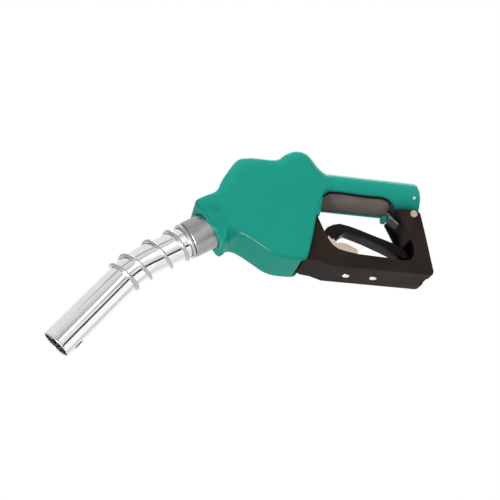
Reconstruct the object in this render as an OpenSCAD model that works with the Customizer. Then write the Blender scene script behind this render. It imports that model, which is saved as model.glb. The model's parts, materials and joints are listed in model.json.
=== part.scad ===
// Automatic shut-off fuel nozzle, high-flow size, with a hand insulator,
// a metal lever guard, a bent spout and an anchor spring.
// +X runs along the handle to the hose, +Z is up, and the XZ plane is the plane of symmetry.
// The origin is the centre of the hose inlet's mouth.

/* [Handle] */
// Outside radius of the insulator round the handle
grip_r = 21; // [20.8:0.1:22]
// Outside radius of the cast handle tube
tube_r = 18.5; // [18:0.1:18.8]
// Wall radius of the threaded hose inlet
inlet_r = 14.7; // [14.5:0.1:15]
// Depth of the inlet thread
inlet_depth = 22; // [18:1:26]

/* [Body] */
// Half the width of the insulator round the body
cover_half = 26; // [25.5:0.5:28]
// Edge rounding of the insulator
cover_round = 8; // [5:0.5:9]
// Half the width of the casting
casting_half = 21; // [20.5:0.1:21.1]
// Lean of the main valve from upright, in degrees
valve_tilt = 7; // [6:0.5:8]
// Lean of the latch plunger from upright, in degrees
latch_tilt = 18; // [17.5:0.5:18.5]

/* [Spout] */
// Outside radius of the spout tube
spout_r = 15.1; // [14.8:0.1:15.2]
// Wall of the spout tube
spout_wall = 1.4; // [1:0.1:2]
// Slope of the spout's first run below the handle, in degrees
spout_angle = 33; // [31:0.5:35]
// Slope of the spout's tip below the handle, in degrees
tip_angle = 52; // [48:0.5:54]
// Distance along the axis from the nose to the corner of the bend
first_run = 77.5; // [74:0.5:80]
// Distance along the axis from the corner of the bend to the tip
tip_run = 105.5; // [95:0.5:110]
// Radius of the bend
bend_r = 113; // [90:1:120]
// Wire radius of the anchor spring
anchor_wire = 1.5; // [1.2:0.1:1.5]

/* [Lever and guard] */
// Half the width of the lever
lever_half = 8; // [7:0.5:8.5]
// Half the outside width of the guard
guard_half = 21; // [20.5:0.1:21.1]
// Sheet thickness of the guard
guard_sheet = 3; // [2.5:0.1:3]
// Radius of the lever's pin
pin_r = 3; // [2.5:0.1:3.2]

/* [Hidden] */
$fn = 48;

fit = 0.06;          // running clearance on a radius
gap = 0.25;          // clearance between pieces that are only laid together

nose = [-217, -55.5];            // where the spout's axis leaves the insulator
seat = [-124, -15];              // centre of the main valve's seat
pivot = [-140, -65];             // the lever's pin at rest
clip_axis = [-97, -57];          // the hold-open clip's pin at rest

stem_gap = 0.3;                  // free play under the valve stem

// Side outline of the insulator round the body, clockwise from the nose
cover_outline = [
    [-233, -33], [-210, -20], [-206, -7], [-199, 7], [-193, 17.5], [-188, 22], [-178, 24.5],
    [-166, 24.5], [-157, 24.5], [-149.5, 25.5], [-144, 30.5], [-137, 36], [-130, 38.2], [-123, 37.7],
    [-117, 34.7], [-111, 27.5], [-104, 21], [-98, 19.5], [-98, -10], [-103, -15], [-107, -22],
    [-110, -33], [-112, -43], [-114, -56], [-118, -75], [-120, -83], [-125, -85.5],
    [-145, -85.5], [-155, -82.5], [-165, -76], [-180, -67], [-188, -65.5], [-194, -67.5],
    [-199, -72], [-204, -76]];

// Side outline of the casting, which fills the insulator
casting_outline = [
    [-211.3, -27.5], [-205, -17.5], [-200, -7], [-194, 3], [-188, 7], [-146, 18], [-141, 21.5],
    [-134, 26], [-122, 26], [-113, 20], [-108.3, 15], [-108.3, -20],
    [-108.6, -43.5], [-116.5, -44], [-121, -79.5], [-146, -80], [-153, -77], [-162, -71],
    [-178, -61.5], [-190, -59], [-200, -64]];

function dir_down(a) = [-cos(a), -sin(a)];
bend_tangent = bend_r * tan((tip_angle - spout_angle) / 2);
bend_start = first_run - bend_tangent;
bend_length = bend_r * (tip_angle - spout_angle) * PI / 180;
bend_end = bend_start + bend_length;
spout_end = bend_end + tip_run - bend_tangent;
bend_p1 = nose + bend_start * dir_down(spout_angle);
bend_p2 = bend_p1 + bend_r * [-(sin(tip_angle) - sin(spout_angle)),
                              cos(tip_angle) - cos(spout_angle)];

// Slope of the spout's axis, and the axis itself, at a distance from the nose
function slope_at(s) = s < bend_start ? spout_angle
    : s < bend_end ? spout_angle + (s - bend_start) / bend_r * 180 / PI : tip_angle;
function axis_at(s) = s < bend_start ? nose + s * dir_down(spout_angle)
    : s < bend_end ? bend_p1 + bend_r * [-(sin(slope_at(s)) - sin(spout_angle)),
                                         cos(slope_at(s)) - cos(spout_angle)]
    : bend_p2 + (s - bend_end) * dir_down(tip_angle);

// Puts children with their Z axis leaning back from upright by an angle
module leaning(at, angle) { translate([at.x, 0, at.y]) rotate([0, -angle, 0]) children(); }
module in_valve() { leaning(seat, valve_tilt) children(); }
module in_latch() { leaning(pivot, latch_tilt) children(); }
module in_spout() { leaning(nose, 90 + spout_angle) children(); }
module in_tip() { leaning(axis_at(spout_end), 90 + tip_angle) children(); }

// A plate of a side outline, centred on the plane of symmetry
module slab(points, half) {
    rotate([90, 0, 0]) linear_extrude(2 * half, center = true) polygon(points);
}
module across(x, z, r, half, y = 0) {
    translate([x, y, z]) rotate([90, 0, 0]) cylinder(r = r, h = 2 * half, center = true);
}
module ring(r_out, r_in, h) {
    difference() {
        cylinder(r = r_out, h = h);
        translate([0, 0, -1]) cylinder(r = r_in, h = h + 2);
    }
}
module along_x(x0, x1, r) { translate([x0, 0, 0]) rotate([0, 90, 0]) cylinder(r = r, h = x1 - x0); }

// A round tube that follows the spout's bent axis between two distances, set to one side of it.
// The bend is a hair thinner than the straight runs and reaches a little way into them.
module spout_pipe(r_out, r_in, s0, s1, drop = 0) {
    lap = 0.5 / bend_r * 180 / PI;
    in_spout() translate([-drop, 0, s0]) ring(r_out, r_in, bend_start - s0);
    translate([bend_p1.x, 0, bend_p1.y] + bend_r * [sin(spout_angle), 0, -cos(spout_angle)])
        rotate([90, 0, 0]) rotate([0, 0, 90 + spout_angle - lap])
            rotate_extrude(angle = tip_angle - spout_angle + 2 * lap) translate([bend_r - drop, 0])
                difference() { circle(r = r_out - 0.05); circle(r = r_in + 0.05); }
    leaning(bend_p2, 90 + tip_angle) translate([-drop, 0, 0]) ring(r_out, r_in, s1 - bend_end);
}

// Sweeps a round wire along a list of centres, each with two directions across the wire
module wire(centres, side_a, side_b, r, sides = 8) {
    n = len(centres);
    points = [for (i = [0 : n - 1], k = [0 : sides - 1])
        centres[i] + r * cos(360 * k / sides) * side_a[i] + r * sin(360 * k / sides) * side_b[i]];
    skin = [for (i = [0 : n - 2], k = [0 : sides - 1]) let (j = (k + 1) % sides)
        [i * sides + k, (i + 1) * sides + k, (i + 1) * sides + j, i * sides + j]];
    polyhedron(points, concat([[for (k = [0 : sides - 1]) k]], skin,
        [[for (k = [sides - 1 : -1 : 0]) (n - 1) * sides + k]]), convexity = 8);
}

// A compression spring along Z with its end turns closed
module spring(r, wire_r, h, turns, steps = 16) {
    n = turns * steps;
    lead = wire_r;
    rise = [for (i = [0 : n]) let (t = i / n, e = 1 / turns)
        t < e ? 2 * wire_r * t / e * 0.98
        : t > 1 - e ? h - 2 * lead - 2 * wire_r * (1 - t) / e * 0.98
        : 2 * wire_r + (h - 2 * lead - 4 * wire_r) * (t - e) / (1 - 2 * e)];
    wire([for (i = [0 : n]) [r * cos(360 * i / steps), r * sin(360 * i / steps), lead + rise[i]]],
        [for (i = [0 : n]) [cos(360 * i / steps), sin(360 * i / steps), 0]],
        [for (i = [0 : n]) [0, 0, 1]], wire_r, 6);
}

/* ---- Body ---- */

boss_r = 20.5;       // round end of the casting at the nose
boss_face = -4;      // its face, measured along the spout's axis from the nose
seat_r = 12.5;       // outside of the seat ring
socket_r = 16.6;     // bore that takes the spout nut's shank
socket_depth = 20;
outlet_r = 13.2;     // bore towards the spout
chamber_r = 13.5;    // main valve chamber
pocket_r = 17;       // recess of the diaphragm
pocket_low = 73;     // its floor, measured along the latch's axis from the lever's pin
sleeve_r = 7.5;      // outside of the latch sleeve
fork_half = 9;       // half the width of the slot for the lever
fork_top = -43.5;
pad_r = 18.6;        // outside of the grip pad
pad_seat_r = 16.2;   // outside of the handle under the pad
pad_rear = -26;      // where the relief for the pad ends
pad_top = -5.6;      // height of the pad's upper edge
cheek_half = guard_half - guard_sheet - 0.2;
screw_x = -9;        // rear guard screws
screw_z = -22.5;

module body_casting() {
    color("silver") difference() {
        union() {
            slab(casting_outline, casting_half);
            along_x(-112, 0, tube_r);
            in_spout() translate([0, 0, -40]) cylinder(r = boss_r, h = 40 + boss_face);
            slab([[-20, -16.3], [-8.5, -28], [-4, -28], [-4, -16.3]], cheek_half);
        }
        // way of the fuel: inlet, valve chamber, passage and outlet
        along_x(-inlet_depth, 1, inlet_r);
        along_x(-116, -inlet_depth + 1, 13);
        in_valve() translate([0, 0, -1]) cylinder(r = chamber_r, h = 60);
        in_valve() translate([0, 0, -6]) cylinder(r = seat_r, h = 6);
        in_valve() translate([0, 0, -10]) cylinder(r = 9.6, h = 10);
        translate([-168, -15, -35]) cube([55.5, 30, 14.2]);
        in_spout() translate([0, 0, -62]) cylinder(r = outlet_r, h = 62);
        in_spout() translate([0, 0, -socket_depth]) cylinder(r = socket_r, h = socket_depth);
        // stem gland
        in_valve() translate([0, 0, -60]) cylinder(r = 7.5, h = 38);
        in_valve() translate([0, 0, -25]) cylinder(r = 4.3, h = 8);
        // latch bore and diaphragm recess
        in_latch() translate([0, 0, 8]) cylinder(r = sleeve_r, h = 80);
        in_latch() translate([0, 0, pocket_low]) cylinder(r = pocket_r, h = 30);
        // fork for the lever, and room for the guard's ears beside it
        translate([-152, -fork_half, -90]) cube([60, 2 * fork_half, 90 + fork_top]);
        // flat underside of the handle, where the grip pad sits
        difference() {
            translate([-112, -25, -25]) cube([pad_rear + 112, 50, 25 + pad_top]);
            along_x(-113, pad_rear + 1, pad_seat_r);
            translate([-125, -25, -50]) cube([16.7, 50, 50]);
        }
        for (s = [-1, 1]) translate([-131, s * (cheek_half + 10) - 10, -90]) cube([40, 20, 55]);
        // holes for the guard's fasteners
        across(screw_x, screw_z, 2.6, 30);
        across(-125.5, -52, 2.6, 30);
    }
}

cap_seat = 30;       // underside of the valve cap's flange, along the valve's axis
module valve_cap() {
    color("lightgray") in_valve() difference() {
        union() {
            translate([0, 0, cap_seat - 8]) cylinder(r = chamber_r - 0.02, h = 8);
            translate([0, 0, cap_seat]) cylinder(r = chamber_r - 0.02, h = 4);
            translate([0, 0, cap_seat + 4]) cylinder(r = 10, h = 6, $fn = 6);
        }
        translate([0, 0, cap_seat - 9]) cylinder(r = 10.5, h = 9);
    }
}
module valve_cap_seal() {
    color("black") in_valve() translate([0, 0, cap_seat - 10])
        ring(chamber_r - 0.02, 11, 2 - 0.05);
}
module valve_seat() {
    color("goldenrod") in_valve() translate([0, 0, -6]) difference() {
        cylinder(r = seat_r - 0.02, h = 6);
        translate([0, 0, -1]) cylinder(r = 9.5, h = 8);
        translate([0, 0, 5]) cylinder(r = 11.3, h = 2);
    }
}
module stem_packing() {
    color("white") in_valve() translate([0, 0, -26.5]) ring(7.48, 4.05, 4);
}
module packing_nut() {
    color("goldenrod") in_valve() translate([0, 0, -30.6]) difference() {
        union() {
            cylinder(r = 7.48, h = 4);
            translate([0, 0, -0.4]) cylinder(r = 8.6, h = 1.2);
        }
        translate([0, 0, -1]) cylinder(r = 4.3, h = 8);
    }
}

// Main valve: a stem, a poppet, its sealing disc and a nut
stem_r = 4;
stem_low = -40.1 + stem_gap;
module valve_stem() {
    color("gainsboro") in_valve() {
        translate([0, 0, stem_low + stem_r]) cylinder(r = stem_r, h = -1 - stem_low - stem_r);
        translate([0, 0, stem_low + stem_r]) sphere(r = stem_r);
        translate([0, 0, -1]) cylinder(r = 3, h = 16);
    }
}
module poppet_disc() {
    color("black") in_valve() translate([0, 0, -0.95]) ring(11.1, 3.02, 2.5);
}
module main_poppet() {
    color("goldenrod") in_valve() translate([0, 0, 1.6]) difference() {
        union() {
            cylinder(r = 12, h = 3);
            cylinder(r = 7, h = 8);
        }
        translate([0, 0, -1]) cylinder(r = 3.02, h = 20);
    }
}
module poppet_nut() {
    color("gainsboro") in_valve() translate([0, 0, 9.65]) difference() {
        cylinder(r = 5.6, h = 4, $fn = 6);
        translate([0, 0, -1]) cylinder(r = 3.02, h = 20);
    }
}
module main_spring() {
    color("gainsboro") in_valve() translate([0, 0, 4.75]) spring(9, 1, cap_seat - 5.05, 6);
}

// Vacuum shut-off: diaphragm, cap, latch pin, balls, sleeve and springs
module diaphragm() {
    color("black") in_latch() translate([0, 0, pocket_low]) ring(pocket_r - 0.02, 3.3, 1.5);
}
module diaphragm_cap() {
    color("lightgray") in_latch() translate([0, 0, pocket_low + 1.55]) difference() {
        cylinder(r = pocket_r - 0.05, h = 8);
        translate([0, 0, -1]) cylinder(r = 10, h = 7);
        for (a = [45 : 90 : 315]) rotate([0, 0, a]) translate([13.4, 0, -1]) {
            cylinder(r = 1.6, h = 20);
            translate([0, 0, 7]) cylinder(r = 2.9, h = 5);
        }
    }
}
module diaphragm_cap_screws() {
    color("gray") in_latch() for (a = [45 : 90 : 315]) rotate([0, 0, a])
        translate([13.4, 0, pocket_low + 1.6]) {
            cylinder(r = 1.55, h = 6.4);
            translate([0, 0, 6]) difference() {
                cylinder(r = 2.8, h = 1.9);
                translate([0, 0, 1]) cylinder(r = 1.4, h = 3, $fn = 6);
            }
        }
}
module latch_sleeve() {
    color("goldenrod") in_latch() difference() {
        translate([0, 0, 12]) cylinder(r = sleeve_r - 0.02, h = pocket_low - 12.05);
        translate([0, 0, 15]) cylinder(r = 6 + fit, h = 80);
        cylinder(r = neck_r + 0.1, h = 20);
    }
}
module latch_spring() {
    color("gainsboro") in_latch() translate([0, 0, pocket_low + 2.8]) spring(5, 0.5, 4.7, 3);
}
module latch_pin() {
    color("gainsboro") in_latch() {
        translate([0, 0, 60]) cylinder(r = 2, h = pocket_low - 60 + 1);
        translate([0, 0, pocket_low - 1.6]) cylinder(r = 3.2, h = 2.5);
        translate([0, 0, pocket_low + 0.8]) cylinder(r = 3.2, h = 1.7);
        translate([0, 0, pocket_low + 1.65]) cylinder(r = 6, h = 1.1);
    }
}
module latch_balls() {
    color("gray") in_latch() for (a = [0 : 120 : 240]) rotate([0, 0, a])
        translate([4, 0, 63]) sphere(r = 1.9, $fn = 24);
}
plunger_top = 68;
piston_low = 48;
neck_r = 4.2;
module latch_plunger() {
    color("gainsboro") in_latch() difference() {
        union() {
            translate([0, 0, piston_low]) cylinder(r = 6, h = plunger_top - piston_low);
            translate([0, 0, 9]) cylinder(r = neck_r, h = piston_low - 8);
            translate([-5.5, -3.5, 0]) cube([11, 7, 10.5]);
            rotate([90, 0, 0]) cylinder(r = 5.5, h = 7, center = true);
        }
        rotate([90, 0, 0]) cylinder(r = pin_r + 0.01, h = 20, center = true);
        translate([0, 0, 57]) cylinder(r = 2.4, h = 20);
        for (a = [0 : 120 : 240]) rotate([0, 0, a]) translate([0, 0, 63]) rotate([0, 90, 0])
            cylinder(r = 2, h = 10);
    }
}
module plunger_spring() {
    color("gainsboro") in_latch() translate([0, 0, 15.1]) spring(5.1, 0.6, piston_low - 15.2, 9, 12);
}

/* ---- Insulator and grip ---- */

// Everything below and behind this line is left open for the grip and the guard
open_outline = [
    [-125, -92], [-125, -45], [-112, -39], [-107.5, -21], [-104, -12], [-97, -6.2],
    [-84, -5.2], [-60, -6.4], [-40, -5.8], [-33, -8], [-28, -12], [-25, -16], [12, -16], [12, -92]];
cavity_outline = [
    [-212, -26], [-207, -16], [-202, -6], [-195, 5.5], [-189, 9.5], [-147, 20.2], [-142, 23.7],
    [-134.6, 28.3], [-121, 28.3], [-112, 22], [-108, 16.5], [-108, -20],
    [-108, -38.5], [-113, -45], [-118, -80.9], [-146.5, -81], [-154.5, -78], [-163, -72],
    [-178.5, -62.5], [-190, -60], [-203, -66]];

keel_half = 1.6;     // half the width of the strip under the pad
keel_r = 20;         // how far down it reaches
keel_rear = -31;     // where it ends
module insulator_cover() {
    color("seagreen") {
        difference() {
            union() {
                minkowski() {
                    rotate([90, 0, 0]) linear_extrude(2 * (cover_half - cover_round), center = true)
                        offset(delta = -cover_round) polygon(cover_outline);
                    sphere(r = cover_round, $fn = 20);
                }
                along_x(-112, 0, grip_r);
            }
            slab(cavity_outline, casting_half + gap);
            along_x(-115, 5, tube_r + gap);
            in_spout() translate([0, 0, -42]) cylinder(r = boss_r + gap, h = 42 + boss_face + gap);
            in_spout() translate([0, 0, -10]) cylinder(r = 18.9, h = 40);
            slab(open_outline, 21.3);
            slab([[-108, -100], [22, -100], [22, -16], [-25.4, -16], [-28.4, -12], [-33.3, -8],
                [-40, -5.8], [-60, -6.4], [-84, -5.2], [-97, -6.2], [-104, -12], [-108, -21]], 60);
            at_rivet() translate([0, 0, tube_r]) cylinder(r = 1.1, h = 10);
        }
        // strip under the pad, the web that carries it and the tab at its rear end
        difference() {
            union() {
                slab([[-108, -34], [-106.2, -34], [-105.2, -24], [-103.5, -16], [-108, -17]], 22);
                intersection() {
                    along_x(-107, keel_rear, keel_r);
                    translate([-107, -keel_half, -30]) cube([107, 2 * keel_half, 25]);
                }
                translate([keel_rear - 5, -5, -25]) cube([5, 10, 7]);
            }
            along_x(-109, -20, pad_r + gap);
        }
    }
}
module at_rivet() { translate([-7, 0, 0]) rotate([100, 0, 0]) children(); }
module cover_rivet() {
    color("white") at_rivet() translate([0, 0, tube_r + 0.5]) {
        cylinder(r = 1, h = grip_r - tube_r);
        translate([0, 0, grip_r - tube_r - 0.5]) cylinder(r = 1.5, h = 0.8);
    }
}

module grip_pad() {
    color("dimgray") difference() {
        union() {
            difference() {
                along_x(-107.9, pad_rear - 0.3, pad_r);
                slab([[-25.6, -7], [-33, -19.5], [-33, -30], [-10, -30], [-10, -7]], 30);
            }
            slab([[-34.5, -16.8], [-30.8, -16.8], [-26.8, -18.3], [-17.8, -27], [-19.4, -29.4],
                [-30.6, -20.2], [-30.6, -18.1], [-34.5, -18.1]], 3.5);
        }
        along_x(-120, pad_rear - 0.2, pad_seat_r + gap);
        along_x(pad_rear - 0.3, 10, tube_r + gap);
        slab([[-112, 30], [12, 30], [12, -16], [-25, -16], [-28.1, -12.3], [-33.1, -8.3], [-40, -6.1],
            [-60, -6.7], [-84, -5.5], [-97, -6.5], [-104.3, -12.4], [-108.2, -21.6], [-112, -21.6]], 40);
    }
}

/* ---- Guard ---- */

guard_outline = [
    [-130, -50], [-116, -45.5], [-114.5, -37], [-109, -36], [-102, -51.5], [-99, -57.5], [-94, -64.5],
    [-88, -68.5], [-80, -70.3], [-68, -72], [-36, -73], [-22, -74.5], [-14, -72.5], [-9.5, -66],
    [-9, -57], [-13, -46], [-26, -18.2], [-4, -18.2], [-1.5, -21], [3, -46], [7, -71], [9, -83],
    [8, -86], [5, -87], [-95, -87], [-107, -83.5], [-117, -82.5], [-121.5, -80.4], [-130, -80.4]];
module lever_guard() {
    inside = guard_half - guard_sheet;
    // web between the side plates, in front of the casting's lug
    color("black") slab([[-26, -18.2], [-14, -29.8], [-10.5, -46], [-8, -46], [-11.7, -29],
        [-23, -18.2]], inside + 0.5);
    color("black") difference() {
        slab(guard_outline, guard_half);
        // channel, open to the front, with a floor and a rear web
        slab([[-135, -30], [-135, -78], [-118, -79.5], [-107, -80.5], [-95, -84], [3, -84],
            [5.6, -82], [4, -71], [0, -46], [-2.6, -31], [12, -31], [12, -10]], inside);
        slab([[-135, -70], [-135, -90], [-121, -90], [-121, -70]], inside);
        // notch in the floor's rear edge
        translate([4, -8, -90]) cube([8, 16, 6]);
        for (x = [-75, -47]) translate([x, 0, -90]) cylinder(r = 2.1, h = 8);
        across(screw_x, screw_z, 2.6, 30);
        across(-125.5, -52, 2.6, 30);
    }
}
module guard_screws() {
    color("tan") for (s = [-1, 1]) {
        translate([screw_x, s * (guard_half + 1.8), screw_z]) rotate([s * 90, 0, 0]) difference() {
            union() {
                cylinder(r = 3.6, h = 1.75);
                cylinder(r = 2.5, h = 15);
            }
            translate([-3, -0.5, -1]) cube([6, 1, 1.8]);
        }
        translate([-125.5, s * (guard_half + 0.1), -52]) rotate([s * 90, 0, 0])
            cylinder(r = 2.5, h = 11);
    }
}

cheek_in = 10;
cheek_out = 12;
module hold_open_rack() {
    color("tan") {
        difference() {
            translate([-84, -cheek_out, -83.95]) cube([44, 2 * cheek_out, 2]);
            for (x = [-75, -47]) translate([x, 0, -90]) cylinder(r = 2.1, h = 12);
        }
        for (s = [-1, 1]) translate([0, s * (cheek_in + cheek_out) / 2, 0])
            slab([[-98, -80], [-96, -51], [-92, -55.3], [-90.5, -54.2], [-86.5, -59], [-84.5, -57.6],
                [-78, -57.8], [-66, -63], [-64.5, -83], [-84, -83.95], [-94, -82]],
                (cheek_out - cheek_in) / 2);
        for (p = [[-90.7, -66.7], [-90.8, -70.1], [-91.3, -73.5]]) across(p.x, p.y, 1, cheek_out);
    }
}
module rack_rivets() {
    color("silver") for (x = [-75, -47]) translate([x, 0, -87]) {
        translate([0, 0, -1.3]) cylinder(r = 3.6, h = 1.3);
        cylinder(r = 2.05, h = 5.2);
        translate([0, 0, 5.05]) cylinder(r = 3.4, h = 1.2);
    }
}

/* ---- Lever ---- */

lever_outline = [
    [-11.5, -62], [-15.5, -56.5], [-28, -50.5], [-46, -45], [-61.5, -40], [-72.5, -36.8],
    [-82.5, -35.2], [-89, -36.8], [-95.5, -40.4], [-99.5, -46], [-104, -53], [-108, -55],
    [-126, -55], [-133, -58.2], [-140, -58.2], [-146, -62], [-146, -68], [-140, -71.8],
    [-133, -71.8], [-120, -69], [-104, -64], [-93, -59.5], [-85.5, -53], [-80, -46],
    [-75, -43.2], [-57, -48.6], [-36.5, -56.4], [-25, -61.4], [-16, -66.5], [-12, -66]];
module lever() {
    color("#222222") difference() {
        slab(lever_outline, lever_half);
        // fork over the plunger, slot for the clip, and the two pin holes
        translate([-155, -3.9, -80]) cube([25, 7.8, 40]);
        slab([[-118, -80], [-118, -62], [-100, -51], [-90, -51], [-88, -80]], 3);
        across(pivot.x, pivot.y, pin_r + fit, 20);
        across(clip_axis.x, clip_axis.y, 1.5, 20);
    }
}
module lever_pin() { color("gainsboro") across(pivot.x, pivot.y, pin_r, 8.3); }
module clip_pin() { color("gainsboro") across(clip_axis.x, clip_axis.y, 1.49, 8.2); }

clip_reach = 19;     // from the clip's pin to its end
clip_rest = 217;     // where the clip points at rest, in degrees from +X
module hold_open_clip() {
    color("tan") translate([clip_axis.x, 0, clip_axis.y]) rotate([0, -clip_rest, 0]) difference() {
        union() {
            rotate([90, 0, 0]) cylinder(r = 3, h = 4.6, center = true);
            translate([0, -2.3, -1.4]) cube([clip_reach, 4.6, 2.8]);
            translate([clip_reach - 6, -5.5, 0.9]) cube([5, 11, 1.4]);
        }
        rotate([90, 0, 0]) cylinder(r = 1.49 + fit, h = 20, center = true);
    }
}
module clip_spring() {
    color("gainsboro") translate([clip_axis.x, 2.45, clip_axis.y]) rotate([-90, 0, 0])
        ring(2.4, 1.62, 0.5);
}

/* ---- Spout ---- */

nut_r = 18.5;
nut_front = 20;
module spout_nut() {
    color("silver") in_spout() difference() {
        rotate_extrude() polygon([[15.3, -socket_depth + 4], [16.55, -socket_depth + 4],
            [16.55, boss_face + 0.1], [nut_r, boss_face + 0.1], [nut_r, nut_front - 1], [nut_r - 1, nut_front],
            [15.3, nut_front]]);
    }
}
module spout_adapter() {
    color("lightgray") in_spout() translate([0, 0, -30]) difference() {
        cylinder(r = 13.15, h = 14);
        translate([0, 0, 4]) cylinder(r = 10.5, h = 20);
        translate([0, 0, -1]) cylinder(r = 2.5 + fit, h = 8);
        for (a = [0 : 72 : 288]) rotate([0, 0, a]) translate([7.9, 0, -1]) cylinder(r = 4, h = 8);
    }
}
module spout_seal() {
    color("black") in_spout() translate([0, 0, -socket_depth + 0.05]) ring(16.5, 13.4, 3.8);
}
port_back = 14;      // centre of the sensing port, back from the tip
port_long = 10;
module spout_tube() {
    color("whitesmoke") difference() {
        spout_pipe(spout_r, spout_r - spout_wall, -15.9, spout_end);
        in_tip() translate([-30, -2.5, -port_back - port_long / 2]) cube([30, 5, port_long]);
    }
}

// The anchor spring's start and end along the spout's axis. Its turns are closest at both ends.
anchor_start = nut_front + anchor_wire + 0.1;
anchor_end = 94.3;
anchor_turns = 5;
anchor_steps = 24;
function anchor_s(u) = anchor_start + (anchor_end - anchor_start)
    * (1 - cos(180 * pow(u / anchor_turns, 1.3))) / 2;
module anchor_spring() {
    r = spout_r + anchor_wire + 0.35;
    turns = [for (i = [0 : anchor_turns * anchor_steps]) i / anchor_steps];
    out = [for (u = turns) let (a = 360 * u + 90, m = slope_at(anchor_s(u)))
        [-sin(m) * sin(a), -cos(a), cos(m) * sin(a)]];
    fore = [for (u = turns) let (m = slope_at(anchor_s(u))) [-cos(m), 0, -sin(m)]];
    color("whitesmoke") wire([for (i = [0 : len(turns) - 1]) let (p = axis_at(anchor_s(turns[i])))
        [p.x, 0, p.y] + r * out[i]], out, fore, anchor_wire, 8);
}

// The vacuum line runs along the underside of the spout's bore
vent_r = 2.5;
vent_drop = spout_r - spout_wall - vent_r - 0.3;
module vent_tube() {
    color("gainsboro") spout_pipe(vent_r, vent_r - 0.8, -15, spout_end - port_back - 5.5, vent_drop);
}
module port_fitting() {
    color("gainsboro") in_tip() translate([-vent_drop, 0, -port_back]) difference() {
        union() {
            translate([0, 0, -5.4]) cylinder(r = 2.7, h = 9);
            translate([-3, -2.3, -4.5]) cube([5, 4.6, 9]);
        }
        rotate([0, -90, 0]) cylinder(r = 1.3, h = 20);
    }
}

// Check valve in the outlet: seat, poppet and spring
module check_seat() {
    color("goldenrod") in_spout() translate([0, 0, -54]) difference() {
        cylinder(r = outlet_r - 0.02, h = 4);
        translate([0, 0, -1]) cylinder(r = 8.5, h = 8);
    }
}
module check_poppet() {
    color("goldenrod") in_spout() {
        translate([0, 0, -49.9]) cylinder(r = 10, h = 2);
        translate([0, 0, -48]) cylinder(r = 2.5, h = 22);
    }
}
module check_spring() {
    color("gainsboro") in_spout() translate([0, 0, -47.8]) spring(5, 0.6, 17.6, 5, 12);
}

body_casting();
insulator_cover();
grip_pad();
lever_guard();
guard_screws();
hold_open_rack();
rack_rivets();
cover_rivet();
valve_seat();
valve_cap();
valve_cap_seal();
stem_packing();
packing_nut();
diaphragm();
diaphragm_cap();
diaphragm_cap_screws();
latch_sleeve();
latch_spring();
spout_nut();
spout_adapter();
spout_seal();
spout_tube();
anchor_spring();
vent_tube();
port_fitting();
check_seat();
latch_plunger();
plunger_spring();
lever_pin();
lever();
clip_pin();
clip_spring();
hold_open_clip();
valve_stem();
main_poppet();
poppet_disc();
poppet_nut();
main_spring();
check_poppet();
check_spring();
latch_pin();
latch_balls();
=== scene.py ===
"""Looks of the automatic fuel nozzle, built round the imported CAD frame.

Lengths in the shape functions are millimetres in the CAD's own frame: +X runs to the hose, +Z is
up and the near side is -Y. Meshes are made in metres.
"""

import json
import math

import bmesh
import bpy
import numpy as np
from mathutils import Matrix, Vector


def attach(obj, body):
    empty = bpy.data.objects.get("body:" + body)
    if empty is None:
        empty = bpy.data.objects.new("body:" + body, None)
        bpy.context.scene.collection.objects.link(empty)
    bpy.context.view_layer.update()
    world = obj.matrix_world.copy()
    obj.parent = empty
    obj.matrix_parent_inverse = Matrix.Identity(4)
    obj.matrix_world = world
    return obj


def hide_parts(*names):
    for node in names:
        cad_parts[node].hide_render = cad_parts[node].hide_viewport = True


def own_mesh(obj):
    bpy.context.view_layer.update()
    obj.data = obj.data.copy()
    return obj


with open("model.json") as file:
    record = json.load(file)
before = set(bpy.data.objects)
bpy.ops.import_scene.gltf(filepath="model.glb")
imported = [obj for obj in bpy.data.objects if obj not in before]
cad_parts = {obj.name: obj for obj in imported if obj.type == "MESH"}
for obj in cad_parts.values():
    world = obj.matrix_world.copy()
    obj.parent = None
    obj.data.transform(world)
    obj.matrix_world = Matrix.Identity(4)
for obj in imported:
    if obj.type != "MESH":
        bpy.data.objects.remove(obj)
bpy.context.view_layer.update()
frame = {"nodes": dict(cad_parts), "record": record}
NODES = frame["nodes"]
MM = 0.001

# Driving dimensions, as in the part
GRIP_R = 21.0
TUBE_R = 18.5
FIT = 0.25
COVER_HALF = 26.0
COVER_WALL = 2.5
INSIDE_HALF = 21.25
GUARD_ROOM = 21.3
PAD_R = 18.6
PAD_REAR = -26.0
KEEL_R = 20.0
KEEL_HALF = 1.6
KEEL_REAR = -31.0
TAB_HALF = 5.0
PORT_BACK = 14.0
SPOUT_R = 15.1
SPOUT_WALL = 1.4
SPOUT_ANGLE = math.radians(33)
TIP_ANGLE = math.radians(52)
FIRST_RUN = 77.5
TIP_RUN = 105.5
BEND_R = 113.0
ANCHOR_WIRE = 1.5
NUT_R = 18.5
NUT_FRONT = 20.0
NUT_BACK = -3.9
NUT_HOLE_R = 18.8
BOSS_HOLE_R = 20.75
NOSE = np.array([-217.0, -55.5])

# The spout's axis: a straight run, a bend and a straight tip
BEND_ANGLE = TIP_ANGLE - SPOUT_ANGLE
BEND_TANGENT = BEND_R * math.tan(BEND_ANGLE / 2)
BEND_START = FIRST_RUN - BEND_TANGENT
BEND_LENGTH = BEND_R * BEND_ANGLE
SPOUT_END = FIRST_RUN + TIP_RUN - 2 * BEND_TANGENT + BEND_LENGTH


# ---- Small numeric tools ----

def step(lo, hi, v):
    """0 before lo and 1 after hi, with a smooth rise; lo may be the larger."""
    t = np.clip((v - lo) / (hi - lo), 0, 1)
    return t * t * (3 - 2 * t)


def mix(a, b, t):
    """a where t is 0 and b where it is 1."""
    return a + (b - a) * t


def smooth_max(a, b, k):
    """The larger of two, with the change from one to the other rounded over a width k."""
    h = np.maximum(k - np.abs(a - b), 0)
    return np.maximum(a, b) + h * h / (4 * k)


def smooth_min(a, b, k):
    return -smooth_max(-a, -b, k)


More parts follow.
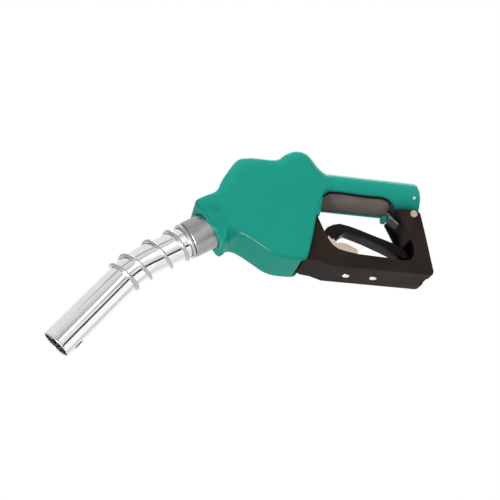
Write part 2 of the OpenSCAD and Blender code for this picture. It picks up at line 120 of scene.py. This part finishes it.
def rounded(points, reach):
    """An outline with each corner replaced by a short curve that starts reach away from it."""
    pts = np.array(points, float)
    out = []
    for i, corner in enumerate(pts):
        before, after = pts[i - 1], pts[(i + 1) % len(pts)]
        a = before - corner
        b = after - corner
        a *= min(reach, 0.48 * np.linalg.norm(a)) / np.linalg.norm(a)
        b *= min(reach, 0.48 * np.linalg.norm(b)) / np.linalg.norm(b)
        for t in (0, 0.25, 0.5, 0.75, 1):
            out.append(corner + (1 - t) ** 2 * a + t * t * b)
    return np.array(out)


def outline_distance(points, x, z):
    """Signed distance from a closed outline in the XZ plane, negative inside."""
    best = np.full(np.broadcast(x, z).shape, 1e9)
    inside = np.zeros(best.shape, bool)
    for i in range(len(points)):
        ax, az = points[i - 1]
        bx, bz = points[i]
        ex, ez = bx - ax, bz - az
        length2 = max(ex * ex + ez * ez, 1e-12)
        t = np.clip(((x - ax) * ex + (z - az) * ez) / length2, 0, 1)
        best = np.minimum(best, (x - ax - t * ex) ** 2 + (z - az - t * ez) ** 2)
        if abs(ez) > 1e-12:
            cross = ((az > z) != (bz > z)) & (x < ax + (z - az) * ex / ez)
            inside ^= cross
    return np.where(inside, -1, 1) * np.sqrt(best)


def slab_distance(points, half, x, y, z):
    """A plate with this outline, and this half width along Y."""
    return np.maximum(outline_distance(points, x, z), np.abs(y) - half)


def rod_distance(x0, x1, r, x, y, z, soft=0.0):
    """A round bar along X."""
    side = np.sqrt(y * y + z * z) - r
    ends = np.maximum(x0 - x, x - x1)
    return smooth_max(side, ends, soft) if soft else np.maximum(side, ends)


def spout_bar_distance(s0, s1, r, x, y, z):
    """A round bar along the spout's first run, between two distances from the nose."""
    dx, dz = x - NOSE[0], z - NOSE[1]
    along = -dx * math.cos(SPOUT_ANGLE) - dz * math.sin(SPOUT_ANGLE)
    off = -dx * math.sin(SPOUT_ANGLE) + dz * math.cos(SPOUT_ANGLE)
    return np.maximum(np.sqrt(y * y + off * off) - r, np.maximum(s0 - along, along - s1))


# ---- Mesh makers ----

def linked(name, data):
    """An object in the scene that holds this data."""
    obj = bpy.data.objects.new(name, data)
    bpy.context.scene.collection.objects.link(obj)
    return obj


def new_object(name, verts, faces):
    """A smooth-shaded mesh object from points in millimetres."""
    mesh = bpy.data.meshes.new(name)
    mesh.from_pydata([tuple(v) for v in np.asarray(verts) * MM], [], faces)
    mesh.update()
    mesh.validate()
    for p in mesh.polygons:
        p.use_smooth = True
    return linked(name, mesh)


def cell_points(value, inside):
    """The mean of the crossings on each crossed cell's edges, and the cells' point numbers."""
    total = np.zeros([n - 1 for n in value.shape] + [3])
    count = np.zeros(total.shape[:3])
    index = np.indices(value.shape)
    for axis in range(3):
        a = [slice(None)] * 3
        b = [slice(None)] * 3
        a[axis], b[axis] = slice(None, -1), slice(1, None)
        a, b = tuple(a), tuple(b)
        crossed = inside[a] != inside[b]
        with np.errstate(divide="ignore", invalid="ignore"):
            t = np.where(crossed, value[a] / (value[a] - value[b]), 0)
        others = [k for k in range(3) if k != axis]
        for i in (0, 1):
            for j in (0, 1):
                part = [slice(None)] * 3
                part[others[0]] = slice(1, None) if i else slice(None, -1)
                part[others[1]] = slice(1, None) if j else slice(None, -1)
                part = tuple(part)
                hit = crossed[part]
                for k in range(3):
                    place = index[k][a][part] + (t[part] if k == axis else 0)
                    total[..., k] += np.where(hit, place, 0)
                count += hit
    used = count > 0
    number = np.full(count.shape, -1)
    number[used] = np.arange(used.sum())
    return total[used] / count[used][:, None], number


def cell_quads(inside, number):
    """A face across each crossed edge, from the points of the four cells round it."""
    faces = []
    for axis in range(3):
        a = [slice(1, -1)] * 3
        b = [slice(1, -1)] * 3
        a[axis], b[axis] = slice(0, -1), slice(1, None)
        ina, inb = inside[tuple(a)], inside[tuple(b)]
        cells = np.argwhere(ina != inb)
        out = ina[tuple(cells.T)]
        base = cells + 1
        base[:, axis] -= 1
        p, q = [k for k in range(3) if k != axis]
        corners = []
        for dp, dq in ((0, 0), (1, 0), (1, 1), (0, 1)):
            spot = base.copy()
            spot[:, p] -= dp
            spot[:, q] -= dq
            corners.append(number[tuple(spot.T)])
        quads = np.stack(corners, 1)
        if axis == 1:
            out = ~out
        quads[~out] = quads[~out][:, ::-1]
        faces.append(quads)
    return np.concatenate(faces)


def settled(points, field, cell):
    """The points moved onto the surface along its slope, by less than half a cell a round."""
    e = 0.02
    for _ in range(3):
        px, py, pz = points.T
        here = field(px, py, pz)
        slope = np.stack([field(px + e, py, pz) - field(px - e, py, pz),
                          field(px, py + e, pz) - field(px, py - e, pz),
                          field(px, py, pz + e) - field(px, py, pz - e)], 1) / (2 * e)
        size2 = np.maximum((slope ** 2).sum(1), 0.25)
        move = -(here / size2)[:, None] * slope
        limit = 0.4 * cell / np.maximum(np.linalg.norm(move, axis=1), 1e-9)
        points = points + move * np.minimum(limit, 1)[:, None]
    return points


def field_mesh(name, field, low, high, cell):
    """The zero surface of a distance field as one quad mesh, one point for each crossed cell."""
    axes = [np.arange(a - cell, b + 2 * cell, cell) for a, b in zip(low, high)]
    x, y, z = axes[0][:, None, None], axes[1][None, :, None], axes[2][None, None, :]
    value = np.broadcast_to(field(x, y, z), [len(a) for a in axes]).copy()
    inside = value < 0
    spots, number = cell_points(value, inside)
    points = np.stack([axes[k][0] + spots[:, k] * cell for k in range(3)], 1)
    faces = cell_quads(inside, number)
    return new_object(name, settled(points, field, cell), faces.tolist())


def apply_modifiers(obj):
    """Replaces the mesh by what its modifiers make of it."""
    graph = bpy.context.evaluated_depsgraph_get()
    mesh = bpy.data.meshes.new_from_object(obj.evaluated_get(graph))
    obj.modifiers.clear()
    obj.data = mesh


def refined(node, width, segments=2, sharp=35):
    """A copy of a CAD node with its flats joined and its edges rounded by a width."""
    mesh = NODES[node].data.copy()
    bm = bmesh.new()
    bm.from_mesh(mesh)
    bmesh.ops.remove_doubles(bm, verts=bm.verts, dist=2e-6)
    bmesh.ops.dissolve_limit(bm, angle_limit=math.radians(0.3), verts=bm.verts, edges=bm.edges)
    bm.to_mesh(mesh)
    bm.free()
    mesh.materials.clear()
    for p in mesh.polygons:
        p.use_smooth = True
    obj = linked(node + "_detail", mesh)
    bevel = obj.modifiers.new("round", "BEVEL")
    bevel.width = width * MM
    bevel.segments = segments
    bevel.limit_method = "ANGLE"
    bevel.angle_limit = math.radians(28)
    bevel.harden_normals = True
    mesh.set_sharp_from_angle(angle=math.radians(sharp))
    apply_modifiers(obj)
    return obj


def frame_at(s):
    """Centre, forward and upper direction of the spout's axis at a distance from the nose."""
    cos_first, sin_first = math.cos(SPOUT_ANGLE), math.sin(SPOUT_ANGLE)
    a = SPOUT_ANGLE + min(max((s - BEND_START) / BEND_R, 0), BEND_ANGLE)
    p = NOSE - min(s, BEND_START) * np.array([cos_first, sin_first])
    p = p + BEND_R * np.array([sin_first - math.sin(a), math.cos(a) - cos_first])
    along_tip = max(s - BEND_START - BEND_LENGTH, 0)
    p = p - along_tip * np.array([math.cos(TIP_ANGLE), math.sin(TIP_ANGLE)])
    centre = np.array([p[0], 0, p[1]])
    ahead = np.array([-math.cos(a), 0, -math.sin(a)])
    upper = np.array([-math.sin(a), 0, math.cos(a)])
    return centre, ahead, upper


def turned(name, profile, sides=128):
    """A closed ring round the spout's axis, from a loop of (distance from the nose, radius)."""
    verts, faces = [], []
    n = len(profile)
    for s, r in profile:
        centre, _, upper = frame_at(s)
        for k in range(sides):
            a = 2 * math.pi * k / sides
            verts.append(centre + r * (math.sin(a) * upper - np.array([0, math.cos(a), 0])))
    for i in range(n):
        j = (i + 1) % n
        for k in range(sides):
            m = (k + 1) % sides
            faces.append((i * sides + k, i * sides + m, j * sides + m, j * sides + k))
    return new_object(name, verts, faces)


def outward(obj):
    """Turns the faces so that they all look out of the solid."""
    bm = bmesh.new()
    bm.from_mesh(obj.data)
    bmesh.ops.recalc_face_normals(bm, faces=bm.faces)
    bm.to_mesh(obj.data)
    bm.free()


# ---- Materials ----

def material(name, colour, rough, metallic=0.0, bump=0.0, bump_size=400.0, rough_change=0.05,
             tint=0.06, tint_size=60.0, stretch=(1, 1, 1), specular=0.5, painted_shade=None):
    """A procedural finish: colour and roughness wander with noise, and fine noise gives the bump.

    bump is a height in millimetres, and the sizes are noise scales. The last argument is a place
    along X, a second place, and the share of the colour that is left there: painted shade, which
    darkens the colour between the two places.
    """
    mat = bpy.data.materials.new(name)
    mat.use_nodes = True
    nodes, links = mat.node_tree.nodes, mat.node_tree.links
    shader = nodes["Principled BSDF"]
    shader.inputs["Metallic"].default_value = metallic
    shader.inputs["Specular IOR Level"].default_value = specular
    place = nodes.new("ShaderNodeTexCoord")
    scale = nodes.new("ShaderNodeMapping")
    scale.inputs["Scale"].default_value = stretch
    links.new(place.outputs["Object"], scale.inputs["Vector"])

    def noise(size, detail):
        n = nodes.new("ShaderNodeTexNoise")
        n.inputs["Scale"].default_value = size
        n.inputs["Detail"].default_value = detail
        links.new(scale.outputs["Vector"], n.inputs["Vector"])
        return n

    broad = noise(tint_size, 3)
    ramp = nodes.new("ShaderNodeValToRGB")
    ramp.color_ramp.elements[0].position = 0.3
    ramp.color_ramp.elements[1].position = 0.7
    ramp.color_ramp.elements[0].color = [c * (1 - tint) for c in colour] + [1]
    ramp.color_ramp.elements[1].color = [min(c * (1 + tint), 1) for c in colour] + [1]
    links.new(broad.outputs["Fac"], ramp.inputs["Fac"])
    # painted shade: the colour is scaled down along X, from full at one place to a share of it at a
    # second
    if painted_shade:
        along = nodes.new("ShaderNodeSeparateXYZ")
        links.new(place.outputs["Object"], along.inputs["Vector"])
        shade = nodes.new("ShaderNodeMapRange")
        shade.inputs["From Min"].default_value = painted_shade[0] * MM
        shade.inputs["From Max"].default_value = painted_shade[1] * MM
        shade.inputs["To Min"].default_value = 1
        shade.inputs["To Max"].default_value = painted_shade[2]
        links.new(along.outputs["X"], shade.inputs["Value"])
        scaled = nodes.new("ShaderNodeVectorMath")
        scaled.operation = "SCALE"
        links.new(ramp.outputs["Color"], scaled.inputs[0])
        links.new(shade.outputs["Result"], scaled.inputs["Scale"])
        links.new(scaled.outputs["Vector"], shader.inputs["Base Color"])
    else:
        links.new(ramp.outputs["Color"], shader.inputs["Base Color"])
    fine = noise(bump_size, 4)
    spread = nodes.new("ShaderNodeMapRange")
    spread.inputs["To Min"].default_value = max(rough - rough_change, 0.02)
    spread.inputs["To Max"].default_value = min(rough + rough_change, 1)
    links.new(fine.outputs["Fac"], spread.inputs["Value"])
    links.new(spread.outputs["Result"], shader.inputs["Roughness"])
    if bump:
        b = nodes.new("ShaderNodeBump")
        b.inputs["Strength"].default_value = 1.0
        b.inputs["Distance"].default_value = bump * MM
        links.new(fine.outputs["Fac"], b.inputs["Height"])
        links.new(b.outputs["Normal"], shader.inputs["Normal"])
    return mat


FINISHES = {
    # near black, partly painted shade: the casting shows only in the gaps round the nut and by the
    # pad's tail, and its dark also stands for their shade
    "cast_black": dict(colour=(0.012, 0.011, 0.0105), rough=0.5, bump=0.05, bump_size=900,
                       specular=0.2),
    "cast_aluminium": dict(colour=(0.5, 0.51, 0.52), rough=0.5, metallic=1.0, bump=0.08,
                           bump_size=900),
    "green_vinyl": dict(colour=(0.013, 0.272, 0.207), rough=0.24, bump=0.01, bump_size=500,
                        tint=0.03, tint_size=14, rough_change=0.03, specular=0.02),
    # painted shade: the pad's colour falls to a quarter towards its rear end and over its tail,
    # where it sits in shadow
    "grip_rubber": dict(colour=(0.135, 0.105, 0.085), rough=0.55, bump=0.03, bump_size=1500,
                        tint=0.22, tint_size=45, specular=0.2, painted_shade=(-31, -26, 0.25)),
    "guard_black": dict(colour=(0.024, 0.018, 0.0155), rough=0.4, bump=0.015, bump_size=1800,
                        tint=0.2, tint_size=30, rough_change=0.06, specular=0.02),
    "lever_black": dict(colour=(0.006, 0.0058, 0.0056), rough=0.2, bump=0.008, bump_size=900,
                        tint=0.15, tint_size=40, specular=0.1),
    "black_plastic": dict(colour=(0.012, 0.012, 0.012), rough=0.5, bump=0.01, bump_size=1500,
                          specular=0.2),
    "zinc_steel": dict(colour=(0.66, 0.55, 0.43), rough=0.33, metallic=0.95, bump=0.01,
                       bump_size=1200, tint=0.1, tint_size=90),
    "bright_rivet": dict(colour=(0.8, 0.76, 0.7), rough=0.32, metallic=0.85, bump=0.01,
                         bump_size=1500),
    "polished_aluminium": dict(colour=(0.86, 0.85, 0.85), rough=0.1, metallic=1.0,
                               rough_change=0.01, tint=0.02),
    "polished_steel": dict(colour=(0.55, 0.545, 0.54), rough=0.16, metallic=1.0,
                           rough_change=0.01),
    "turned_aluminium": dict(colour=(0.38, 0.375, 0.37), rough=0.3, metallic=1.0, bump=0.003,
                             bump_size=300, stretch=(4, 1, 4), rough_change=0.06, tint=0.08,
                             tint_size=120),
    "stainless_steel": dict(colour=(0.6, 0.6, 0.6), rough=0.3, metallic=1.0, bump=0.004,
                            bump_size=1500),
    "spring_steel": dict(colour=(0.45, 0.45, 0.46), rough=0.35, metallic=1.0, bump=0.003,
                         bump_size=1500),
    "valve_brass": dict(colour=(0.72, 0.5, 0.2), rough=0.3, metallic=1.0, bump=0.004,
                        bump_size=1200),
    "seal_rubber": dict(colour=(0.02, 0.02, 0.02), rough=0.6, bump=0.01, bump_size=1500),
    "packing_white": dict(colour=(0.8, 0.8, 0.77), rough=0.5, bump=0.01, bump_size=1500),
}
MATERIALS = {name: material(name, **look) for name, look in FINISHES.items()}


def dress(obj, slot):
    obj.data.materials.clear()
    obj.data.materials.append(MATERIALS[slot])


def put(obj, slot, body, *replaced):
    """Gives a finished piece its finish, its body and the CAD nodes that it stands for."""
    dress(obj, slot)
    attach(obj, body)
    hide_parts(*replaced)


# ---- Insulator ----

COVER_OUTLINE = rounded([
    (-233, -33), (-210, -20), (-206, -7), (-199, 7), (-193, 17.5), (-188, 22), (-178, 24.5),
    (-166, 24.5), (-157, 24.5), (-149.5, 25.5), (-144, 30.5), (-137, 36), (-130, 38.2),
    (-123, 37.7), (-117, 34.7), (-111, 27), (-105, 17), (-102, 0), (-103, -15), (-107, -22),
    (-110, -33), (-112, -43), (-114, -56), (-118, -75), (-120, -83), (-125, -85.5),
    (-145, -85.5), (-155, -82.5), (-165, -76), (-180, -67), (-188, -65.5), (-194, -67.5),
    (-195.5, -70), (-200.5, -73.4)], 6)
CAVITY_OUTLINE = [
    (-212, -26), (-207, -16), (-202, -6), (-195, 5.5), (-189, 9.5), (-147, 20.2), (-142, 23.7),
    (-134.6, 28.3), (-121, 28.3), (-112, 22), (-108, 16.5), (-108, -20),
    (-108, -38.5), (-113, -45), (-118, -80.9), (-146.5, -81), (-154.5, -78), (-163, -72),
    (-178.5, -62.5), (-190, -60), (-203, -66)]
OPEN_OUTLINE = rounded([
    (-125, -92), (-125, -45), (-112, -39), (-107.5, -21), (-104, -12), (-97, -6.2), (-84, -5.2),
    (-60, -6.4), (-40, -5.8), (-33, -8), (-28, -12), (-25, -16), (12, -16), (12, -92)], 3)
GRIP_CUT = rounded([
    (-108, -100), (22, -100), (22, -16), (-25.4, -16), (-28.4, -12), (-33.3, -8), (-40, -5.8),
    (-60, -6.4), (-84, -5.2), (-97, -6.2), (-104, -12), (-108, -21)], 3)
WEB_OUTLINE = rounded([(-114, -36), (-107.2, -35), (-105.8, -24), (-103.8, -14), (-114, -10)], 1)
CASTING_BACK = [(-125, -92), (-125, 20), (-108, 20), (-108, -92)]
TAB_OUTLINE = rounded([(-36, -25), (-31, -25), (-31, -17), (-36, -17)], 1.5)


def keel_field(x, y, z):
    """The strip under the pad, with the web that carries it and the tab at its rear end."""
    strip = smooth_max(rod_distance(-107, KEEL_REAR, KEEL_R, x, y, z, soft=0.8),
                       np.maximum(np.abs(y) - KEEL_HALF, z + 5), 1.0)
    strip = smooth_min(strip, slab_distance(TAB_OUTLINE, TAB_HALF, x, y, z), 1.5)
    web = smooth_max(outline_distance(WEB_OUTLINE, x, z), np.abs(y) - 25, 2.0)
    web = np.maximum(web, -slab_distance(CASTING_BACK, GUARD_ROOM, x, y, z))
    strip = smooth_min(strip, web, 1.0)
    return smooth_max(strip, -rod_distance(-120, -20, PAD_R + FIT, x, y, z), 0.6)


def cover_field(x, y, z):
    """The hollow cover: a bevelled plate, the handle's bar and the strip under the pad."""
    side = outline_distance(COVER_OUTLINE, x, z)
    toward_nose = step(-186, -222, x)
    low = step(-28, -44, z)
    half = mix(COVER_HALF, 25.0, toward_nose)
    flat = np.abs(y) - half
    # width and softness of the bevel: broad on top, narrow below, fading into the nose's underside
    size = mix(8.5, mix(1.8, 11.0, step(-176, -206, x)), low)
    size = mix(size, 3.0, toward_nose * (1 - low))
    soft = mix(4.5, mix(1.0, 9.0, step(-190, -210, x)), low)
    soft = mix(soft, 1.6, toward_nose * (1 - low))
    # the rim round the nut stays narrow
    ahead = (NOSE[0] - x) * math.cos(SPOUT_ANGLE) + (NOSE[1] - z) * math.sin(SPOUT_ANGLE)
    rim = step(-13, -3, ahead)
    size = mix(size, 3.2, rim)
    soft = mix(soft, 2.0, rim)
    rear = step(-124, -113, x) * step(4, -10, z)
    size = mix(size, 1.5, rear)
    soft = mix(soft, 1.0, rear)
    body = smooth_max(side, flat, 1.2)
    body = smooth_max(body, (side + flat + size) * math.sqrt(0.5), soft)
    handle = rod_distance(-130, 0, GRIP_R, x, y, z, soft=4.0)
    skin = smooth_min(body, handle, 11.0)
    skin = smooth_max(skin, -slab_distance(GRIP_CUT, 60, x, y, z), 1.2)
    # the cavity keeps a wall under the skin
    hollow = np.minimum(slab_distance(CAVITY_OUTLINE, INSIDE_HALF, x, y, z),
                        spout_bar_distance(-42, -3.75, BOSS_HOLE_R, x, y, z))
    hollow = np.maximum(hollow, skin + COVER_WALL)
    hollow = np.minimum(hollow, rod_distance(-115, 5, TUBE_R + FIT, x, y, z))
    hollow = np.minimum(hollow, spout_bar_distance(-10, 40, NUT_HOLE_R, x, y, z))
    hollow = np.minimum(hollow, slab_distance(OPEN_OUTLINE, GUARD_ROOM, x, y, z))
    skin = smooth_max(skin, -hollow, 0.8)
    return smooth_min(skin, keel_field(x, y, z), 0.6)


cover = field_mesh("insulator_cover_detail", cover_field, (-237, -28, -89), (2, 28, 40), 1.2)
put(cover, "green_vinyl", "nozzle", "insulator_cover")


# ---- Grip pad ----

PAD_TAIL = rounded([(-34.5, -16.2), (-29, -15.6), (-26.4, -17.9), (-17.6, -26.8), (-19.4, -29.4),
                    (-30.6, -20.2), (-30.6, -18.1), (-34.5, -18.1)], 1.5)
PAD_CUT = rounded([
    (-112, 30), (12, 30), (12, -16), (-25, -16), (-28.1, -12.3), (-33.1, -8.3), (-40, -6.1),
    (-60, -6.7), (-84, -5.5), (-97, -6.5), (-104.3, -12.4), (-108.2, -21.6), (-112, -21.6)], 3)


def pad_field(x, y, z):
    """The pad: half a sleeve on the handle's tube with a slanted end, and its tail."""
    pad = rod_distance(-107.9, PAD_REAR - 0.3, PAD_R, x, y, z, soft=6.0)
    pad = smooth_max(pad, (x + 25.6 - 0.59 * (z + 7)) * 0.86, 5.0)
    pad = smooth_max(pad, -slab_distance(PAD_CUT, 40, x, y, z), 3.0)
    tail = smooth_max(outline_distance(PAD_TAIL, x, z), np.abs(y) - 7, 3.0)
    tail = np.maximum(tail, -slab_distance(PAD_CUT, 40, x, y, z))
    pad = smooth_min(pad, tail, 1.5)
    pad = np.maximum(pad, -rod_distance(-120, PAD_REAR - 0.2, 16.45, x, y, z))
    return np.maximum(pad, -rod_distance(PAD_REAR - 1, 10, TUBE_R + FIT, x, y, z))


pad = field_mesh("grip_pad_detail", pad_field, (-110, -20, -32), (-10, 20, -3), 0.8)
put(pad, "grip_rubber", "nozzle", "grip_pad")


# ---- Spout, nut and anchor spring ----

PORT_HALF = 3.2
PORT_STRAIGHT = 1.8
PORT_SIDES = 32
CUTTER_NEAR, CUTTER_FAR = 6, 22


def port_cutter():
    """A slot-shaped bar through the underside of the tip."""
    centre, ahead, upper = frame_at(SPOUT_END - PORT_BACK)
    bm = bmesh.new()
    for depth in (CUTTER_NEAR, CUTTER_FAR):
        ring = []
        for k in range(PORT_SIDES):
            a = 2 * math.pi * k / PORT_SIDES
            reach = PORT_HALF * math.cos(a) + math.copysign(PORT_STRAIGHT, math.cos(a))
            across = np.array([0, PORT_HALF * math.sin(a), 0])
            ring.append(bm.verts.new(tuple((centre + ahead * reach + across - upper * depth) * MM)))
        bm.faces.new(ring if depth == CUTTER_FAR else ring[::-1])
    bm.verts.ensure_lookup_table()
    for k in range(PORT_SIDES):
        m = (k + 1) % PORT_SIDES
        near, far = (bm.verts[k], bm.verts[m]), (bm.verts[PORT_SIDES + m], bm.verts[PORT_SIDES + k])
        bm.faces.new(near + far)
    bmesh.ops.recalc_face_normals(bm, faces=bm.faces)
    mesh = bpy.data.meshes.new("slot_cutter")
    bm.to_mesh(mesh)
    bm.free()
    return linked("slot_cutter", mesh)


def make_spout():
    """The bent tube with its rounded lip and the sensing port."""
    inner = SPOUT_R - SPOUT_WALL
    tip = SPOUT_END
    stations = list(np.linspace(-15.9, tip - 0.8, 90))
    lip = [(tip - 0.35, SPOUT_R - 0.08), (tip - 0.1, SPOUT_R - 0.3), (tip, SPOUT_R - 0.6),
           (tip - 0.1, inner + 0.3), (tip - 0.4, inner + 0.05)]
    profile = [(s, SPOUT_R) for s in stations] + lip + [(s, inner) for s in reversed(stations)]
    tube = turned("spout_tube_detail", profile)
    outward(tube)
    cutter = port_cutter()
    cut = tube.modifiers.new("slot", "BOOLEAN")
    cut.object = cutter
    cut.operation = "DIFFERENCE"
    cut.solver = "EXACT"
    apply_modifiers(tube)
    bpy.data.objects.remove(cutter)
    for p in tube.data.polygons:
        p.use_smooth = True
    tube.data.set_sharp_from_angle(angle=math.radians(35))
    return tube


put(make_spout(), "polished_aluminium", "nozzle", "spout_tube")


def make_nut():
    """The collar, with a thin shank behind it and a rounded front edge."""
    front, back, shank_end = NUT_FRONT, NUT_BACK, -16
    bore_r, shank_r = 15.3, 16.55
    profile = [(shank_end, bore_r), (shank_end, shank_r), (back, shank_r), (back, NUT_R - 0.4),
               (back + 0.4, NUT_R), (front - 1.6, NUT_R), (front - 0.6, NUT_R - 0.25),
               (front - 0.1, NUT_R - 0.8), (front, NUT_R - 1.2), (front, bore_r)]
    nut = turned("spout_nut_detail", profile)
    outward(nut)
    nut.data.set_sharp_from_angle(angle=math.radians(24))
    return nut


put(make_nut(), "turned_aluminium", "nozzle", "spout_nut")


def make_anchor():
    """The anchor spring: its turns are closest at both ends, and each end is cut square."""
    start = NUT_FRONT + ANCHOR_WIRE + 0.1
    end = 94.3
    turns, steps, sides = 5, 48, 16
    verts, faces = [], []
    n = turns * steps
    radius = SPOUT_R + ANCHOR_WIRE + 0.35
    for i in range(n + 1):
        u = i / steps
        s = start + (end - start) * (1 - math.cos(math.pi * (u / turns) ** 1.3)) / 2
        centre, ahead, upper = frame_at(s)
        a = 2 * math.pi * u + math.pi / 2
        out = math.sin(a) * upper + np.array([0, -math.cos(a), 0])
        for k in range(sides):
            b = 2 * math.pi * k / sides
            r = ANCHOR_WIRE * (0.92 if i in (0, n) else 1)
            verts.append(centre + radius * out + r * (math.cos(b) * out + math.sin(b) * ahead))
    for i in range(n):
        for k in range(sides):
            m = (k + 1) % sides
            faces.append((i * sides + k, i * sides + m, (i + 1) * sides + m, (i + 1) * sides + k))
    faces.append(tuple(range(sides)))
    faces.append(tuple(n * sides + k for k in reversed(range(sides))))
    wire = new_object("anchor_spring_detail", verts, faces)
    outward(wire)
    wire.data.set_sharp_from_angle(angle=math.radians(40))
    return wire


put(make_anchor(), "polished_steel", "nozzle", "anchor_spring")


# ---- Pressed and machined pieces, from their CAD forms with rounded edges ----

put(refined("lever_guard", 0.7, 3), "guard_black", "nozzle", "lever_guard")
put(refined("lever", 1.6, 4, sharp=50), "lever_black", "lever", "lever")
put(refined("hold_open_rack", 0.3), "zinc_steel", "nozzle", "hold_open_rack")
put(refined("hold_open_clip", 0.3), "zinc_steel", "clip", "hold_open_clip")
put(refined("guard_screws", 0.35, 3), "zinc_steel", "nozzle", "guard_screws")
put(refined("rack_rivets", 0.5, 4), "bright_rivet", "nozzle", "rack_rivets")
put(refined("cover_rivet", 0.35, 4), "bright_rivet", "nozzle", "cover_rivet")


# ---- Springs, copied from their CAD forms ----

def soft_spring(node):
    """A copy of a spring's CAD form with its finish, on the nozzle's body in place of the CAD node.
    """
    obj = linked(node + "_detail", NODES[node].data.copy())
    put(obj, "spring_steel", "nozzle", node)
    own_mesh(obj)


soft_spring("main_spring")
soft_spring("plunger_spring")
soft_spring("latch_spring")
soft_spring("check_spring")

# the CAD nodes that nothing replaces keep their shape and get their finish
for entry in frame["record"]["subparts"]:
    dress(NODES[entry["node"]], entry["material_slot"])


# ---- Stage, light and camera ----

MIDDLE = (-0.2, 0, -0.06)
FLOOR_HALF = 4
FLOOR_LEVEL = -1.3
# height on the sky from straight down at 0 to straight up at 1, and its grey
SKY = ((0.0, 0.9), (0.44, 0.95), (0.49, 0.35), (0.6, 0.45), (0.72, 0.72), (0.85, 0.85), (1.0, 0.9))
CAMERA_PLACE = (-0.3061, -0.7573, -0.3949)
CAMERA_RIGHT = Vector((0.9824, -0.1851, 0.0266))
CAMERA_AHEAD = Vector((0.1604, 0.9071, 0.3891))
CAMERA_LENS = 61.2


def toward(direction, distance=1.6):
    """A place at a distance from the middle of the object."""
    return tuple(Vector(MIDDLE) + Vector(direction).normalized() * distance)


def aim(obj, place):
    """Stands a card or lamp in its place, facing the middle of the object."""
    obj.location = place
    obj.rotation_euler = (Vector(MIDDLE) - Vector(place)).to_track_quat("-Z", "Y").to_euler()


def card(name, place, width, height, strength, diffuse=True):
    """A flat glowing card that the camera doesn't see; without diffuse it only adds reflections."""
    mesh = bpy.data.meshes.new(name)
    w, h = width / 2, height / 2
    mesh.from_pydata([(-w, -h, 0), (w, -h, 0), (w, h, 0), (-w, h, 0)], [], [(0, 1, 2, 3)])
    obj = linked(name, mesh)
    aim(obj, place)
    mat = bpy.data.materials.new(name)
    mat.use_nodes = True
    nodes = mat.node_tree.nodes
    nodes.remove(nodes["Principled BSDF"])
    glow = nodes.new("ShaderNodeEmission")
    glow.inputs["Color"].default_value = (1, 1, 1, 1)
    glow.inputs["Strength"].default_value = strength
    mat.node_tree.links.new(glow.outputs["Emission"], nodes["Material Output"].inputs["Surface"])
    mesh.materials.append(mat)
    obj.visible_camera = False
    obj.visible_shadow = False
    obj.visible_diffuse = diffuse


def lamp(name, place, size, power):
    """A square lamp that the bright metal doesn't mirror."""
    light = bpy.data.lights.new(name, "AREA")
    light.energy = power
    light.size = size
    obj = linked(name, light)
    aim(obj, place)
    obj.visible_glossy = False


def make_floor():
    mesh = bpy.data.meshes.new("floor")
    a, z = FLOOR_HALF, FLOOR_LEVEL
    mesh.from_pydata([(-a, -a, z), (a, -a, z), (a, a, z), (-a, a, z)], [], [(0, 1, 2, 3)])
    floor = linked("floor", mesh)
    mesh.materials.append(material("floor_paper", (0.85, 0.85, 0.85), 0.8, tint=0.01))
    floor.visible_camera = False


def make_sky():
    """White to the camera, and a band of greys by height for light and reflections."""
    world = bpy.data.worlds.new("studio")
    bpy.context.scene.world = world
    world.use_nodes = True
    nodes, links = world.node_tree.nodes, world.node_tree.links
    back = nodes["Background"]
    place = nodes.new("ShaderNodeTexCoord")
    split = nodes.new("ShaderNodeSeparateXYZ")
    links.new(place.outputs["Generated"], split.inputs["Vector"])
    spread = nodes.new("ShaderNodeMapRange")
    spread.inputs["From Min"].default_value = -1
    spread.inputs["From Max"].default_value = 1
    links.new(split.outputs["Z"], spread.inputs["Value"])
    ramp = nodes.new("ShaderNodeValToRGB")
    elements = ramp.color_ramp.elements
    while len(elements) < len(SKY):
        elements.new(0.5)
    for e, (at, grey) in zip(elements, SKY):
        e.position = at
        e.color = (grey, grey, grey, 1)
    links.new(spread.outputs["Result"], ramp.inputs["Fac"])
    seen = nodes.new("ShaderNodeLightPath")
    pick = nodes.new("ShaderNodeMix")
    pick.data_type = "RGBA"
    pick.inputs["B"].default_value = (1, 1, 1, 1)
    links.new(seen.outputs["Is Camera Ray"], pick.inputs["Factor"])
    links.new(ramp.outputs["Color"], pick.inputs["A"])
    links.new(pick.outputs["Result"], back.inputs["Color"])
    back.inputs["Strength"].default_value = 1.0


def make_lights():
    """Two soft boxes, two dark cards for the metal to mirror, and two small glints."""
    card("front_softbox", toward((0.2, -0.93, 0.25)), 0.45, 1.3, 1.3)
    card("right_wall", toward((0.95, -0.25, -0.2)), 1.5, 1.8, 1.1)
    card("dark_gap", toward((0.7, -0.66, -0.2), 1.5), 0.3, 1.8, 0.0)
    card("dark_top", toward((-0.25, -0.65, 0.7), 1.5), 1.2, 0.22, 0.4)
    card("crease_glint", toward((-0.54, -0.43, -0.72)), 0.2, 0.2, 1200, diffuse=False)
    card("back_paper", toward((0, 1, 0.15), 1.8), 4, 3, 1.0)
    card("rim_glint", toward((0.30, 0.43, 0.85)), 1.1, 0.7, 5, diffuse=False)
    lamp("key", toward((-0.5, -0.9, 1.2), 1.8), 0.9, 22)


def make_camera():
    data = bpy.data.cameras.new("camera")
    data.lens = CAMERA_LENS
    data.sensor_width = 36
    data.clip_start = 0.01
    camera = linked("camera", data)
    up = CAMERA_RIGHT.cross(CAMERA_AHEAD).normalized()
    right = CAMERA_AHEAD.cross(up).normalized()
    turn = Matrix((right, up, -CAMERA_AHEAD.normalized())).transposed().to_4x4()
    camera.matrix_world = Matrix.Translation(CAMERA_PLACE) @ turn
    bpy.context.scene.camera = camera


make_floor()
make_sky()
make_lights()
make_camera()
bpy.context.scene.view_settings.view_transform = "Standard"
